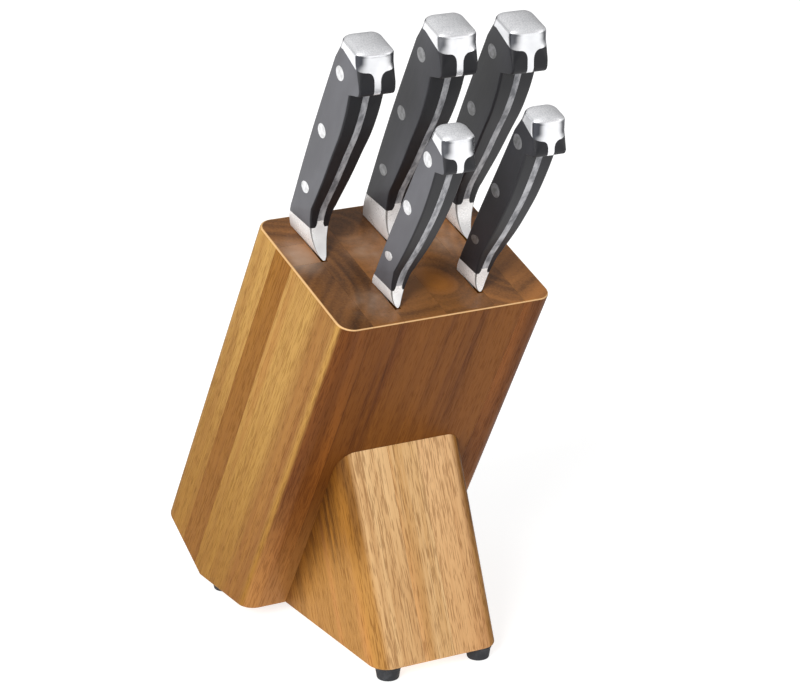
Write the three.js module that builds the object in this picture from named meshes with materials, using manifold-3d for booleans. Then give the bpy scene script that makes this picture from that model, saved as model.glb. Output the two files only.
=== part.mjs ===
// Leaning hardwood knife block on a wedge foot, with five forged knives that slide up out of their slots.
// Millimetres, +Z up, front towards -Y. The block and its knives are drawn upright in a frame whose origin
// is the block's front lower edge, and that frame is then leaned forward over the wedge foot.

import * as THREE from 'three';
import { mergeVertices } from 'three/addons/utils/BufferGeometryUtils.js';
import Module from 'manifold-3d';

const wasm = await Module();
wasm.setup();

// ---------------------------------------------------------------- driving dimensions

const LEAN = 31;            // degrees the block leans forward
const BLOCK_W = 110;        // across
const BLOCK_D = 90;         // front face to back face
const FRONT_H = 202;        // length of the front face, along the lean
const TOP_FALL = 12.25;     // degrees the top face falls towards the back, off square
const HEEL_DROP = 27;       // how far the square lower end lies below the front lower edge
const BLOCK_EDGE_R = 7.5;   // round on the four long edges
const GLUE = 0.3;           // seam between two glued or seated pieces

const PANEL_T = 15.5;       // side panels outside the slotted core
const STAVE_SEAMS = [52, 67.5];   // depth of the seams between a side panel's three staves

const BLADE_T = 2.2;        // blade thickness at the spine
const SLOT_ROOM = 0.5;      // play on each side of a blade in its slot
const SLOT_T = BLADE_T + 2 * SLOT_ROOM;
const SLOT_END_ROOM = 1.6;  // play in front of and behind a blade in its slot
const SLOT_FLOOR = 5;       // room under a knife's point

const FOOT_W = 67;          // wedge foot, across
const FOOT_REACH = 96.3;    // how far the foot reaches in front of the block's lower edge
const FOOT_RISE = 112.3;    // how far up the block's front face the foot reaches
const FOOT_EDGE_R = 9;      // round on the foot's two front edges
const FOOT_CORE_W = 16;     // middle stave of the foot

const DOWEL_R = 4;
const DOWEL_HALF = 18;      // dowel length on each side of the joint
const DOWEL_X = 14;
const DOWEL_UP = 34;        // dowels' height up the block's front face
const FIT = 0.3;            // clearance round dowels, screws and rivets

const PAD_TOP_R = 6.5;      // rubber feet
const PAD_LOW_R = 5.4;
const PAD_H = 6.7;
const PAD_FROM_SIDE = 9;    // front pads' centres, in from the foot's sides and front edge
const PAD_FROM_FRONT = 7.3;
const PAD_BACK_FROM_SIDE = 10.5;     // back pads' centres, in from the block's sides and square end
const PAD_BACK_FROM_END = 7;
const SCREW_HEAD_R = 2.8;
const SCREW_HEAD_T = 2;
const SCREW_R = 1.4;
const SCREW_LENGTH = 12;
const SCREW_POINT = 1;

const TANG_T = 3.2;
const RIVET_R = 4.1;
const RIVET_HEAD_T = 3;
const RIVET_STEM_R = 2.4;
const ROUND_STEPS = 16;

// A handle is drawn from its lowest rivet: up is towards the butt, back is towards the spine.
const LARGE_HANDLE = {
  pitch: 35.6, lean: 1.0,                     // rivet spacing, and how far each rivet steps forward
  bladeSpine: 7.6, guard: -22.6,              // spine and heel of the blade where it leaves the bolster
  scaleLow: -21, spineLow: 7.2,               // lower end of the scales
  scaleTop: 83, spineTop: 5.4,                // upper end of the scales
  capBack: 87.4, capFront: 91.6, capLip: -11, // steel butt cap
  beakTip: [-20.4, 76], notch: [-13.2, 70], swell: [-15.2, 46], neck: [-9.6, -6],
  bolsterHalf: 2.4,                           // half thickness where the bolster rests on the block
  half: [[-19, 5.9], [0, 7], [36, 8.2], [70, 9], [110, 10]],
};
const SMALL_HANDLE = {
  pitch: 33.3, lean: 0.9,
  bladeSpine: 6.8, guard: -14.2,
  scaleLow: -19.6, spineLow: 4.6,
  scaleTop: 77.5, spineTop: 3.8,
  capBack: 81.8, capFront: 85.8, capLip: -7.6,
  beakTip: [-15.9, 73.4], notch: [-9.9, 68.6], swell: [-12.2, 40], neck: [-8.5, -4],
  bolsterHalf: 2.2,
  half: [[-16, 4.8], [0, 6.2], [33, 7.2], [67, 8], [100, 8.9]],
};

// The same handle a little larger or smaller on its own blade.
function sized(handle, size, blade = {}) {
  const scaled = (value) => (Array.isArray(value) ? value.map(scaled) : value * size);
  const pairs = Object.entries(handle).map(([key, value]) => [key, scaled(value)]);
  const { bladeSpine, guard } = handle;
  return { ...Object.fromEntries(pairs), bladeSpine, guard, ...blade };
}

const HANDLES = {
  carving: sized(LARGE_HANDLE, 1.01),
  chef: sized(LARGE_HANDLE, 1.026, { bladeSpine: 9.2 }),
  bread: sized(LARGE_HANDLE, 1.02),
  utility: sized(SMALL_HANDLE, 0.98),
  paring: sized(SMALL_HANDLE, 1, { bladeSpine: 6, guard: -12.4 }),
};

// The outer slots are milled beside the side panels.
const BACK_ROW_X = BLOCK_W / 2 - PANEL_T - SLOT_T / 2;
const FRONT_ROW_X = 22;
const TALL_TILT = 0;        // slots of the back row run square up the block
const SHORT_TILT = 4;       // slots of the front row lean a little further forward
const LONG_BLADE = 195;

// Each knife: slot plane, lowest rivet's place (depth, height above the front top edge), tilt of its slot.
const KNIVES = [
  { name: 'carving', x: -BACK_ROW_X, at: [75, 16.9], tilt: TALL_TILT, blade: LONG_BLADE, edge: 'plain' },
  { name: 'chef', x: 0, at: [73, 23.1], tilt: TALL_TILT, blade: LONG_BLADE, edge: 'plain' },
  { name: 'bread', x: BACK_ROW_X, at: [73.6, 19.4], tilt: TALL_TILT, blade: LONG_BLADE, edge: 'serrated' },
  { name: 'utility', x: -FRONT_ROW_X, at: [22.8, 22.6], tilt: SHORT_TILT, blade: 130, edge: 'plain' },
  { name: 'paring', x: FRONT_ROW_X, at: [22.6, 24.8], tilt: SHORT_TILT, blade: 95, edge: 'plain' },
].map((knife) => ({ ...knife, handle: HANDLES[knife.name] }));
const EDGE_HALF = 0.35;     // half thickness of a blade at its edge
const SERRATION = 6;        // length of one scallop on the bread knife
const SERRATION_DEPTH = 1.2;
const CAP_CROWN = 1.4;      // rise of the butt cap's top
const BLADE_ROOT = 6;       // unsharpened heel below the bolster
const POINT_SHARE = 0.3;    // share of a blade that curves in to its point
const EDGE_BELLY = 2;       // how the edge and the spine run in to the point
const SPINE_BELLY = 3;
const CUT_ROOM = 5;         // how far a cutter reaches past what it cuts
const GUARD_CURVE = 6;      // height over which the bolster's finger guard turns forward
const SCALE_SLOPE = 0.3;    // rise of the scales' lower ends towards the front

// ---------------------------------------------------------------- finishes

const finish = (color, roughness, metalness = 0) =>
  new THREE.MeshStandardMaterial({ color, roughness, metalness });
const WOOD_LIGHT = finish(0xc89452, 0.5);
const WOOD_DARK = finish(0x9c6a35, 0.5);
const WOOD_CORE = finish(0x7a4b28, 0.5);
const WOOD_FOOT = finish(0xd2a468, 0.5);
const BEECH = finish(0xd9b98a, 0.6);
const RUBBER = finish(0x2c2d30, 0.8);
const ZINC = finish(0xa9adb3, 0.4, 1);
const STEEL = finish(0xd5d7da, 0.2, 1);
const BLACK = finish(0x2b2b2e, 0.45);
const RIVET_METAL = finish(0xc9c9c9, 0.3, 1);

// ---------------------------------------------------------------- solids

const radians = THREE.MathUtils.degToRad;
const FAR = 500;            // longer than anything in the part

function solid(geometry) {
  const bare = geometry.clone();
  bare.deleteAttribute('normal');
  bare.deleteAttribute('uv');
  const merged = mergeVertices(bare, 1e-4);
  const vertProperties = new Float32Array(merged.attributes.position.array);
  const triVerts = new Uint32Array(merged.index.array);
  return new wasm.Manifold(new wasm.Mesh({ numProp: 3, vertProperties, triVerts }));
}

function geometryOf(body) {
  const mesh = body.getMesh();
  const geometry = new THREE.BufferGeometry();
  geometry.setAttribute('position', new THREE.BufferAttribute(new Float32Array(mesh.vertProperties), 3));
  geometry.setIndex(new THREE.BufferAttribute(new Uint32Array(mesh.triVerts), 1));
  geometry.computeVertexNormals();
  return geometry;
}

const X = new THREE.Vector3(1, 0, 0);
const Y = new THREE.Vector3(0, 1, 0);
const Z = new THREE.Vector3(0, 0, 1);

function outline(points) {
  return new THREE.Shape(points.map(([across, up]) => new THREE.Vector2(across, up)));
}

function extruded(shape, length, basis, curveSegments = 6) {
  const options = { depth: length, bevelEnabled: false, steps: 1, curveSegments };
  return solid(new THREE.ExtrudeGeometry(shape, options).applyMatrix4(basis));
}

// A side view (y, z) given thickness from x0 to x1.
function sideCut(shape, x0, x1) {
  const basis = new THREE.Matrix4().makeBasis(Y, Z, X).setPosition(x0, 0, 0);
  return extruded(shape, x1 - x0, basis);
}

// A front view (x, z) carried through the whole depth.
function frontCut(shape) {
  const basis = new THREE.Matrix4().makeBasis(X, Z, Y.clone().negate()).setPosition(0, FAR, 0);
  return extruded(shape, 2 * FAR, basis);
}

// A plan view (x, y) carried through the whole height.
function planCut(shape) {
  return extruded(shape, 2 * FAR, new THREE.Matrix4().setPosition(0, 0, -FAR), 5);
}

function block(x0, x1, y0, y1, z0, z1) {
  const box = new THREE.BoxGeometry(x1 - x0, y1 - y0, z1 - z0);
  return solid(box.translate((x0 + x1) / 2, (y0 + y1) / 2, (z0 + z1) / 2));
}

// A turned piece about `axis` through `at`, from a half profile of [radius, along] points.
function turned(profile, axis, at) {
  const points = profile.map(([r, along]) => new THREE.Vector2(r, along));
  const lathe = new THREE.LatheGeometry(points, ROUND_STEPS);
  const turn = new THREE.Quaternion().setFromUnitVectors(Y, axis);
  lathe.applyQuaternion(turn).translate(at[0], at[1], at[2]);
  return solid(lathe);
}

function rod(radius, from, to, axis, at) {
  return turned([[0, from], [radius, from], [radius, to], [0, to]], axis, at);
}

function roundedRect(x0, x1, y0, y1, radius) {
  const shape = new THREE.Shape();
  shape.moveTo(x0 + radius, y0);
  shape.lineTo(x1 - radius, y0);
  shape.absarc(x1 - radius, y0 + radius, radius, -Math.PI / 2, 0);
  shape.lineTo(x1, y1 - radius);
  shape.absarc(x1 - radius, y1 - radius, radius, 0, Math.PI / 2);
  shape.lineTo(x0 + radius, y1);
  shape.absarc(x0 + radius, y1 - radius, radius, Math.PI / 2, Math.PI);
  shape.lineTo(x0, y0 + radius);
  shape.absarc(x0 + radius, y0 + radius, radius, Math.PI, 1.5 * Math.PI);
  return shape;
}

const part = new THREE.Group();
const upright = new THREE.Group();    // the foot and pads stand square to the table
const leaning = new THREE.Group();    // the block and the knives lean
leaning.rotation.x = radians(LEAN);
part.add(upright, leaning);

function piece(name, body, material, group) {
  const mesh = new THREE.Mesh(geometryOf(body), material);
  mesh.name = name;
  group.add(mesh);
  return mesh;
}

// A body drawn in the upright frame, seen from the leaning one, and the other way round.
const toLeaning = (body) => body.rotate([-LEAN, 0, 0]);
const toUpright = (body) => body.rotate([LEAN, 0, 0]);

// ---------------------------------------------------------------- block

const topAt = (depth) => FRONT_H - depth * Math.tan(radians(TOP_FALL));
const levelDepth = HEEL_DROP / Math.tan(radians(LEAN));

function blockBlank() {
  const side = outline([
    [0, 0],
    [levelDepth, -HEEL_DROP],
    [BLOCK_D, -HEEL_DROP],
    [BLOCK_D, topAt(BLOCK_D)],
    [0, FRONT_H],
  ]);
  const plan = roundedRect(-BLOCK_W / 2, BLOCK_W / 2, 0, BLOCK_D, BLOCK_EDGE_R);
  return sideCut(side, -BLOCK_W / 2, BLOCK_W / 2).intersect(planCut(plan));
}

// How far the block's top face lies below a knife's lowest rivet, square to that face.
function seatOf(knife) {
  const fall = radians(TOP_FALL);
  return -(knife.at[0] * Math.sin(fall) + knife.at[1] * Math.cos(fall));
}

// The height at which a line across the knife, on the block's top face, crosses the depth y.
function seatAt(knife, y) {
  const fall = radians(TOP_FALL + knife.tilt);
  return (seatOf(knife) - y * Math.sin(fall)) / Math.cos(fall);
}

const tipOf = (knife) => seatAt(knife, 0) - knife.blade;

function slotOf(knife) {
  const { handle } = knife;
  const back = handle.bladeSpine + SLOT_END_ROOM;
  const front = handle.guard - SLOT_END_ROOM;
  const floor = tipOf(knife) - SLOT_FLOOR;
  const cut = block(-SLOT_T / 2, SLOT_T / 2, front, back, floor, FAR);
  return cut.rotate([knife.tilt, 0, 0]).translate([knife.x, knife.at[0], FRONT_H + knife.at[1]]);
}

// Screws stand square to the table, under each rubber foot.
function padSpots() {
  const frontX = FOOT_W / 2 - PAD_FROM_SIDE;
  const frontY = -FOOT_REACH + PAD_FROM_FRONT;
  const backX = BLOCK_W / 2 - PAD_BACK_FROM_SIDE;
  const backY = HEEL_DROP / Math.sin(radians(LEAN)) - PAD_BACK_FROM_END;
  return [
    { name: 'front_left', x: -frontX, y: frontY },
    { name: 'front_right', x: frontX, y: frontY },
    { name: 'back_left', x: -backX, y: backY },
    { name: 'back_right', x: backX, y: backY },
  ];
}

const screwHole = (spot) =>
  rod(SCREW_R + FIT, -PAD_H, SCREW_LENGTH - PAD_H / 2 + FIT, Z, [spot.x, spot.y, 0]);

function dowelBody(x, room) {
  const reach = DOWEL_HALF + room;
  return rod(DOWEL_R + room, -reach, reach, Y, [x, 0, DOWEL_UP]);
}

function cutBlank() {
  let body = blockBlank();
  for (const knife of KNIVES) body = body.subtract(slotOf(knife));
  for (const spot of padSpots()) body = body.subtract(toLeaning(screwHole(spot)));
  for (const x of [-DOWEL_X, DOWEL_X]) body = body.subtract(dowelBody(x, FIT));
  return body;
}

function addBlock() {
  const blank = cutBlank();
  const half = BLOCK_W / 2;
  const inner = half - PANEL_T;
  const groove = SLOT_T / 2;
  const outer = FRONT_ROW_X + groove;
  const seams = [-inner, -outer, -groove, outer, inner];
  const names = ['core_left', 'core_mid_left', 'core_mid_right', 'core_right'];
  const slice = (x0, x1, y0, y1) => {
    const saw = block(x0 + GLUE / 2, x1 - GLUE / 2, y0 + GLUE / 2, y1 - GLUE / 2, -FAR, FAR);
    return blank.intersect(saw);
  };
  names.forEach((name, i) => {
    piece(name, slice(seams[i], seams[i + 1], -FAR, FAR), WOOD_CORE, leaning);
  });
  const depths = [-FAR, ...STAVE_SEAMS, FAR];
  const staves = ['front', 'middle', 'back'];
  const tones = [WOOD_LIGHT, WOOD_DARK, WOOD_LIGHT];
  staves.forEach((stave, i) => {
    piece(`left_stave_${stave}`, slice(-FAR, -inner, depths[i], depths[i + 1]), tones[i], leaning);
    piece(`right_stave_${stave}`, slice(inner, FAR, depths[i], depths[i + 1]), tones[i], leaning);
  });
  piece('dowel_left', dowelBody(-DOWEL_X, 0), BEECH, leaning);
  piece('dowel_right', dowelBody(DOWEL_X, 0), BEECH, leaning);
}

// ---------------------------------------------------------------- wedge foot

function footBlank() {
  const tipY = -FOOT_RISE * Math.sin(radians(LEAN));
  const tipZ = FOOT_RISE * Math.cos(radians(LEAN));
  const gap = GLUE / Math.cos(radians(LEAN));
  const side = outline([[-gap, 0], [tipY - gap, tipZ], [-FOOT_REACH, 0]]);
  const slope = Math.atan2(FOOT_REACH + tipY, tipZ);
  const plan = roundedRect(-FOOT_W / 2, FOOT_W / 2, 0, FAR, FOOT_EDGE_R);
  const rounded = planCut(plan).rotate([-THREE.MathUtils.radToDeg(slope), 0, 0]);
  return sideCut(side, -FOOT_W / 2, FOOT_W / 2).intersect(rounded.translate([0, -FOOT_REACH, 0]));
}

function addFoot() {
  let body = footBlank();
  for (const spot of padSpots()) body = body.subtract(screwHole(spot));
  for (const x of [-DOWEL_X, DOWEL_X]) body = body.subtract(toUpright(dowelBody(x, FIT)));
  const core = FOOT_CORE_W / 2;
  const seams = [[-FAR, -core], [-core, core], [core, FAR]];
  ['left', 'middle', 'right'].forEach((name, i) => {
    const [x0, x1] = seams[i];
    const saw = block(x0 + GLUE / 2, x1 - GLUE / 2, -FAR, FAR, -FAR, FAR);
    piece(`foot_stave_${name}`, body.intersect(saw), WOOD_FOOT, upright);
  });
}

function addPads() {
  const seat = -GLUE;
  const headTop = -PAD_H / 2;
  for (const spot of padSpots()) {
    const at = [spot.x, spot.y, 0];
    const cone = turned([[0, -PAD_H], [PAD_LOW_R, -PAD_H], [PAD_TOP_R, seat], [0, seat]], Z, at);
    const well = rod(SCREW_HEAD_R + FIT, -PAD_H - FIT, headTop, Z, at);
    const bore = rod(SCREW_R + FIT, -PAD_H, FIT, Z, at);
    piece(`rubber_foot_${spot.name}`, cone.subtract(well).subtract(bore), RUBBER, upright);
    const under = headTop - FIT;
    const low = under - SCREW_HEAD_T;
    const top = SCREW_LENGTH + headTop;
    const shank = top - SCREW_POINT;
    const head = [[0, low], [SCREW_HEAD_R, low], [SCREW_HEAD_R, under]];
    const profile = [...head, [SCREW_R, under], [SCREW_R, shank], [0, top]];
    piece(`foot_screw_${spot.name}`, turned(profile, Z, at), ZINC, upright);
  }
}

// ---------------------------------------------------------------- knives

function handleOutline(knife) {
  const h = knife.handle;
  const heel = seatAt(knife, h.guard);
  const root = seatAt(knife, h.bladeSpine) - BLADE_ROOT;
  const shape = new THREE.Shape();
  shape.moveTo(h.bladeSpine, root);
  shape.lineTo(h.bladeSpine, seatAt(knife, h.bladeSpine));
  shape.lineTo(h.spineLow, h.scaleLow);
  shape.lineTo(h.spineTop, h.capBack);
  const crown = (h.capBack + h.capFront) / 2 + 2 * CAP_CROWN;
  shape.quadraticCurveTo((h.spineTop + h.capLip) / 2, crown, h.capLip, h.capFront);
  shape.lineTo(...h.beakTip);
  shape.lineTo(...h.notch);
  shape.splineThru([h.swell, h.neck].map(([y, z]) => new THREE.Vector2(y, z)));
  shape.quadraticCurveTo(h.neck[0], heel + GUARD_CURVE, h.guard, heel);
  shape.lineTo(h.guard, root);
  return shape;
}

// Half thickness up the knife: blade, a step where the bolster rests on the block, then the handle.
function thicknessOutline(knife) {
  const h = knife.handle;
  const seat = seatOf(knife) + GLUE;
  const half = BLADE_T / 2;
  const levels = [[-FAR, half], [seat, half], [seat, h.bolsterHalf], ...h.half, [FAR, h.half.at(-1)[1]]];
  const right = levels.map(([z, reach]) => [reach, z]);
  const left = levels.map(([z, reach]) => [-reach, z]).reverse();
  return outline([...right, ...left]);
}

// The scales lie between two cuts that run across the handle.
function scaleBand(h, room) {
  const low = h.scaleLow + room;
  const top = h.scaleTop - room;
  const spine = h.bladeSpine * 2;
  return outline([
    [spine, low - SCALE_SLOPE * spine],
    [-2 * spine, low + 2 * SCALE_SLOPE * spine],
    [-2 * spine, top],
    [spine, top],
  ]);
}

function handleBody(knife) {
  const across = knife.handle.half.at(-1)[1];
  const side = sideCut(handleOutline(knife), -across, across);
  return side.intersect(frontCut(thicknessOutline(knife)).rotate([-TOP_FALL - knife.tilt, 0, 0]));
}

function bladeOutline(knife) {
  const h = knife.handle;
  const root = seatAt(knife, h.bladeSpine) - BLADE_ROOT / 2;
  const tip = tipOf(knife);
  const heel = root - BLADE_ROOT;
  const edgeEnd = tip + knife.blade * POINT_SHARE;
  const shape = new THREE.Shape();
  shape.moveTo(h.bladeSpine, root);
  shape.lineTo(h.guard, root);
  shape.lineTo(h.guard, heel);
  if (knife.edge === 'serrated') {
    const count = Math.floor((heel - edgeEnd) / SERRATION);
    for (let i = 0; i < count; i += 1) {
      shape.lineTo(h.guard + SERRATION_DEPTH, heel - (i + 0.5) * SERRATION);
      shape.lineTo(h.guard, heel - (i + 1) * SERRATION);
    }
  }
  shape.lineTo(h.guard, edgeEnd);
  shape.quadraticCurveTo(h.guard + EDGE_BELLY, (edgeEnd + tip) / 2, (h.guard + h.bladeSpine) / 2, tip);
  shape.quadraticCurveTo(h.bladeSpine - SPINE_BELLY, (edgeEnd + tip) / 2, h.bladeSpine, edgeEnd);
  return shape;
}

function bladeBody(knife) {
  const h = knife.handle;
  const spine = BLADE_T / 2;
  const section = outline([
    [-spine, h.bladeSpine + 1],
    [-EDGE_HALF, h.guard - 1],
    [EDGE_HALF, h.guard - 1],
    [spine, h.bladeSpine + 1],
  ]);
  return sideCut(bladeOutline(knife), -spine, spine).intersect(planCut(section));
}

// Half thickness of the handle at a point on its side.
function halfAt(knife, y, z) {
  const fall = radians(TOP_FALL + knife.tilt);
  const level = z * Math.cos(fall) + y * Math.sin(fall);
  const { half } = knife.handle;
  const above = half.findIndex(([top]) => top > level);
  const [z0, t0] = half[above - 1];
  const [z1, t1] = half[above];
  return t0 + ((t1 - t0) * (level - z0)) / (z1 - z0);
}

function rivetBody(half, at, room) {
  const head = RIVET_R + room;
  const stem = RIVET_STEM_R + room;
  const reach = half + (room > 0 ? CUT_ROOM : 0);
  const neck = half - RIVET_HEAD_T - room;
  const left = [[0, -reach], [head, -reach], [head, -neck], [stem, -neck]];
  const right = [[stem, neck], [head, neck], [head, reach], [0, reach]];
  return turned([...left, ...right], X, at);
}

function addKnife(knife) {
  const h = knife.handle;
  const rig = new THREE.Group();
  rig.position.set(knife.x, knife.at[0], FRONT_H + knife.at[1]);
  rig.rotation.x = radians(knife.tilt);
  leaning.add(rig);

  const handle = handleBody(knife);
  const spots = ['low', 'mid', 'top'].map((name, i) => {
    const at = [0, -i * h.lean, i * h.pitch];
    return { name, at, half: halfAt(knife, at[1], at[2]) };
  });
  const drilled = (body) =>
    spots.reduce((left, spot) => left.subtract(rivetBody(spot.half, spot.at, FIT / 2)), body);

  const tang = TANG_T / 2;
  const beside = h.half.at(-1)[1] + CUT_ROOM;
  const pockets = sideCut(scaleBand(h, 0), tang, beside).add(sideCut(scaleBand(h, 0), -beside, -tang));
  const forged = drilled(handle.subtract(pockets).add(bladeBody(knife)));
  piece(`${knife.name}_knife_forging`, forged, STEEL, rig);

  const skin = tang + GLUE / 2;
  const right = handle.intersect(sideCut(scaleBand(h, GLUE), skin, beside));
  const left = handle.intersect(sideCut(scaleBand(h, GLUE), -beside, -skin));
  piece(`${knife.name}_knife_scale_right`, drilled(right), BLACK, rig);
  piece(`${knife.name}_knife_scale_left`, drilled(left), BLACK, rig);
  for (const spot of spots) {
    piece(`${knife.name}_knife_rivet_${spot.name}`, rivetBody(spot.half, spot.at, 0), RIVET_METAL, rig);
  }
}

addBlock();
addFoot();
addPads();
KNIVES.forEach(addKnife);

// The origin is the middle of the footprint, on the table.
part.updateMatrixWorld(true);
const extent = new THREE.Box3().setFromObject(part, true);
const middle = extent.getCenter(new THREE.Vector3());
for (const group of [upright, leaning]) {
  group.position.set(-middle.x, -middle.y, -extent.min.z);
}

export default part;
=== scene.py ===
from math import cos, pi, radians, sin, tan

import bmesh
import bpy
import numpy as np
from mathutils import Matrix, Vector


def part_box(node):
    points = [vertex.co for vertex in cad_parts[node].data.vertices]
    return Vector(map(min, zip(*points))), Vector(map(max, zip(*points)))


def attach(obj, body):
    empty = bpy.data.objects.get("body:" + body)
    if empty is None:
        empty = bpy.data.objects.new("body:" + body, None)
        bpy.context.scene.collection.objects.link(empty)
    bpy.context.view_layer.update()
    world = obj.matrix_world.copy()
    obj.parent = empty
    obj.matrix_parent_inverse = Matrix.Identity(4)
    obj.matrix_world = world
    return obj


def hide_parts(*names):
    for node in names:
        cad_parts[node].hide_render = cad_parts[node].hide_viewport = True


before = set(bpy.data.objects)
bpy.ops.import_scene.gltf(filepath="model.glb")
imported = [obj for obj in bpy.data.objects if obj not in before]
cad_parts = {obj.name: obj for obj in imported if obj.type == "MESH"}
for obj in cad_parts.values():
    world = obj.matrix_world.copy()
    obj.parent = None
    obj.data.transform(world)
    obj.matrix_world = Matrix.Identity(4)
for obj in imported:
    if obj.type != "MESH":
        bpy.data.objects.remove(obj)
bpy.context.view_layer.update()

# ------------------------------------------------------------------ sizes, in millimetres

MM = 0.001
LEAN = 31                   # degrees the block leans forward
BLOCK_W, BLOCK_D, FRONT_H = 110, 90, 202
TOP_FALL = 12.25            # degrees the top face falls towards the back
HEEL_DROP = 27              # the square lower end below the front lower edge
BLOCK_EDGE_R = 7.5
RIM_R = 1.3                 # small round over along the top and the bottom
PANEL_T = 15.5
STAVE_SEAMS = (52, 67.5)
EASE_R = 0.05               # the least round on a cut edge
SEAM = 0.03                 # hairline between two glued staves
SEAT_GAP = 0.06             # between the foot and the block's front
CAD_SEAM = 0.3              # the frame's own gap between seated pieces
SLOT_T, SLOT_END_ROOM, SLOT_FLOOR = 3.2, 0.7, 5
BACK_ROW_X = BLOCK_W / 2 - PANEL_T - SLOT_T / 2
FRONT_ROW_X = 22

FOOT_GRAIN = -21.8          # degrees: the foot's grain runs up its slope
FOOT_W, FOOT_REACH, FOOT_RISE, FOOT_EDGE_R, FOOT_CORE_W = 67, 96.3, 112.3, 9, 16
PAD_R, PAD_LOW_R, PAD_H, PAD_ROUND = 6.5, 5.4, 6.7, 1.2
WELL_R, WELL_DEPTH = 3.1, 3.4

TANG_T = 3.2
RIVET_R, RIVET_DOME = 3.85, 0.16
CAP_CROWN, CAP_SIDE, CAP_END = 3.7, 2.0, 3.6   # height, and how full its outline is each way
SERRATION, SERRATION_DEPTH = 6, 1.2
NECK_RINGS, CROWN_RINGS, BLADE_RINGS = 15, 26, 90

ABOVE_TOP = 120             # a slot's cutter ends this far over its lowest rivet
WIDE = 400                  # past the edge of every piece
FLAT_ANGLE = 35             # degrees: a sharper turn than this stays a hard edge

# A handle is drawn from its lowest rivet as (back, up) pairs: back is towards the spine.
# spine, belly, beak, lip and cap_back outline it; scale_low, scale_rise and scale_top bound the
# black scales. half pairs a height with the half width there; low_half is the neck's, spine first.
LARGE = dict(
    pitch=35.6, lean=1.0, blade_spine=7.6, guard=-22.6, scale_low=-23.2, scale_rise=0.32,
    scale_top=[(9, 79.4), (5.2, 80.8), (-0.6, 83.0), (-6.4, 83.7), (-30, 82.6)],
    spine=[(7.2, -20), (7.2, 10), (6.6, 46), (5.4, 83)],
    belly=[(-9.6, -6), (-12.2, 14), (-13.7, 31), (-15.0, 45), (-14.6, 58), (-13.2, 67.6)],
    beak=[(-16.6, 70.4), (-19.4, 72.5), (-20.2, 73.8), (-19.9, 75.6)], lip=(-12.6, 88.0), cap_back=84.8,
    low_half=(2.4, 0.7), scale_half=6.3, shoulder=(3.0, 3.6),
    half=[(-8, 6.6), (10, 7.3), (36, 8.2), (70, 9.0), (95, 9.75)],
)
SMALL = dict(
    pitch=33.3, lean=0.9, blade_spine=6.8, guard=-14.2, scale_low=-21.2, scale_rise=0.30,
    scale_top=[(7, 75.0), (3.8, 76.1), (-0.6, 77.6), (-5.0, 78.2), (-24, 77.4)],
    spine=[(4.6, -18), (4.4, 10), (4.0, 40), (3.8, 77)],
    belly=[(-8.5, -4), (-10.8, 14), (-11.8, 28), (-12.1, 41), (-11.2, 56), (-9.9, 66.4)],
    beak=[(-12.6, 68.5), (-15.0, 70.3), (-15.8, 71.4), (-15.6, 73.0)], lip=(-9.0, 83.2), cap_back=80.0,
    low_half=(2.2, 0.6), scale_half=5.2, shoulder=(2.6, 3.0),
    half=[(-6, 5.7), (10, 6.5), (33, 7.2), (67, 8.0), (90, 8.5)],
)


def sized(handle, size, **blade):
    """The same handle a little larger or smaller, on its own blade."""
    def scaled(value):
        if isinstance(value, (list, tuple)):
            return type(value)(scaled(v) for v in value)
        return value * size
    kept = {key: handle[key] for key in ("blade_spine", "guard", "scale_rise")}
    return {key: scaled(value) for key, value in handle.items()} | kept | blade


def knife_plan(name, handle, at, blade, edge, x, tilt=0):
    """at is the lowest rivet: its depth in the block and its height over the front top edge."""
    return dict(name=name, size=handle, at=at, blade=blade, edge=edge, x=x, tilt=tilt)


KNIVES = [
    knife_plan("carving", sized(LARGE, 1.01), (75, 16.9), 195, "carving", -BACK_ROW_X),
    knife_plan("chef", sized(LARGE, 1.026, blade_spine=9.2), (73, 23.1), 195, "chef", 0),
    knife_plan("bread", sized(LARGE, 1.02), (73.6, 19.4), 195, "bread", BACK_ROW_X),
    knife_plan("utility", sized(SMALL, 0.98), (22.8, 22.6), 130, "carving", -FRONT_ROW_X, tilt=4),
    knife_plan("paring", sized(SMALL, 1, blade_spine=6.0, guard=-12.4), (22.6, 24.8), 95, "chef",
               FRONT_ROW_X, tilt=4),
]

# ------------------------------------------------------------------ places

foot_low, foot_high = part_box("foot_stave_middle")
ORIGIN = Vector((0, foot_high[1] + CAD_SEAM * MM / cos(radians(LEAN)), foot_low[2]))
UPRIGHT = Matrix.Translation(ORIGIN)
LEANING = UPRIGHT @ Matrix.Rotation(radians(LEAN), 4, "X")


def top_at(depth):
    """Height of the block's top face, square to the lean, so far behind its front."""
    return FRONT_H - depth * tan(radians(TOP_FALL))


def knife_place(knife):
    depth, up = knife["at"]
    spot = Vector((knife["x"], depth, FRONT_H + up)) * MM
    return LEANING @ Matrix.Translation(spot) @ Matrix.Rotation(radians(knife["tilt"]), 4, "X")


def seat_at(knife, back):
    """Height at which the block's top face crosses a knife's own plane."""
    depth, up = knife["at"]
    fall = radians(TOP_FALL)
    slope = radians(TOP_FALL + knife["tilt"])
    seat = -(depth * sin(fall) + up * cos(fall))
    return (seat - back * sin(slope)) / cos(slope)


# ------------------------------------------------------------------ mesh making

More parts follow.
